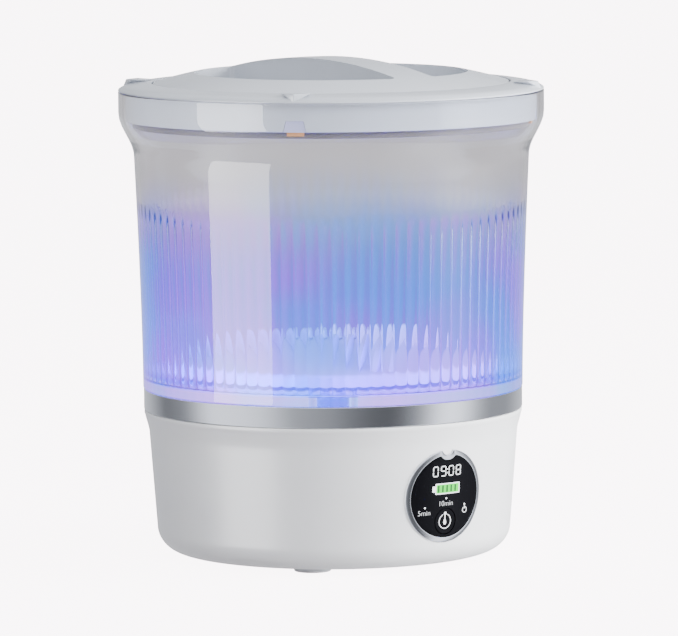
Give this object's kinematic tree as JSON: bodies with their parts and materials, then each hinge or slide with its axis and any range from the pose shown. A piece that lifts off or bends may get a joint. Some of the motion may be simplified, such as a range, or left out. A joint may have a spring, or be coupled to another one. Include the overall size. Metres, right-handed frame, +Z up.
{
  "type": "portable mini washer",
  "caption": "Countertop washing machine with a clear fluted tub, lift-off domed lid with finger pockets, silver band and a round white base with a round display.",
  "frame": {"origin": "on the floor under the tub's axis, at the level of the feet", "axes": "+Z up along the tub's axis; the display faces -Y; the drain is at the back, on +Y"},
  "size_m": [0.23, 0.23, 0.2702],
  "materials": {
    "white_shell": "gloss",
    "lid_plastic": "gloss",
    "clear_tub": "polished",
    "lilac_plastic": "satin",
    "silver_trim": "satin",
    "black_lens": "polished",
    "pale_rubber": "matte",
    "orange_silicone": "matte",
    "dark_rubber": "matte",
    "steel": "satin",
    "brass": "satin",
    "circuit_board": "satin",
    "light_guide": "satin",
    "black_plastic": "satin",
    "cell_wrap": "satin",
    "red_lead": "satin"
  },
  "bodies": {
    "base": {"base_housing": "white_shell", "bottom_cover": "white_shell", "deck": "white_shell", "drain_spout": "white_shell", "wash_tub": "clear_tub", "silver_band": "silver_trim", "display_bezel": "silver_trim", "display_lens": "black_lens", "foot_1": "pale_rubber", "foot_2": "pale_rubber", "foot_3": "pale_rubber", "foot_4": "pale_rubber", "tub_seal": "dark_rubber", "lip_seal": "dark_rubber", "drain_hose": "dark_rubber", "shaft_bearing": "steel", "motor": "steel", "motor_mount": "steel", "charge_port": "steel", "motor_screw_1": "steel", "motor_screw_2": "steel", "motor_screw_3": "steel", "cover_screw_1": "steel", "cover_screw_2": "steel", "cover_screw_3": "steel", "cover_screw_4": "steel", "led_board": "circuit_board", "display_board": "circuit_board", "main_board": "circuit_board", "light_ring": "light_guide", "display_module": "black_plastic", "button_switch": "black_plastic", "battery_holder": "black_plastic", "display_lead": "black_plastic", "battery_cell_1": "cell_wrap", "battery_cell_2": "cell_wrap", "battery_lead": "red_lead", "motor_lead": "red_lead"},
    "lid": {"lid_ring": "lid_plastic", "lid_disc": "lid_plastic", "lid_gasket": "pale_rubber", "lid_tab_1": "lilac_plastic", "lid_tab_2": "lilac_plastic", "lid_tab_3": "lilac_plastic", "lid_tab_4": "lilac_plastic", "tab_mark_1": "orange_silicone", "tab_mark_2": "orange_silicone", "tab_mark_3": "orange_silicone", "tab_mark_4": "orange_silicone"},
    "rotor": {"pulsator": "lilac_plastic", "pulsator_cap": "lilac_plastic", "drive_shaft": "steel", "shaft_coupling": "brass"},
    "button": {"power_button": "black_lens"},
    "flap": {"port_flap": "pale_rubber"},
    "plug": {"drain_plug": "pale_rubber"}
  },
  "joints": [
    {"name": "lid_lift", "type": "slide", "parent": "base", "child": "lid", "axis": [0, 0, 1], "range_m": [0, 0.08]},
    {"name": "pulsator_spin", "type": "hinge", "parent": "base", "child": "rotor", "pos_m": [0, 0, 0.1], "axis": [0, 0, 1], "continuous": true},
    {"name": "button_press", "type": "slide", "parent": "base", "child": "button", "axis": [0, 1, 0], "range_m": [0, 0.0008], "stiffness_N_per_m": 500},
    {"name": "flap_open", "type": "hinge", "parent": "base", "child": "flap", "pos_m": [-0.04601, 0.08653, 0.0374], "axis": [-0.8829, -0.4695, 0], "range_deg": [0, 95]},
    {"name": "plug_pull", "type": "slide", "parent": "base", "child": "plug", "axis": [0, 1, 0], "range_m": [0, 0.02]}
  ]
}
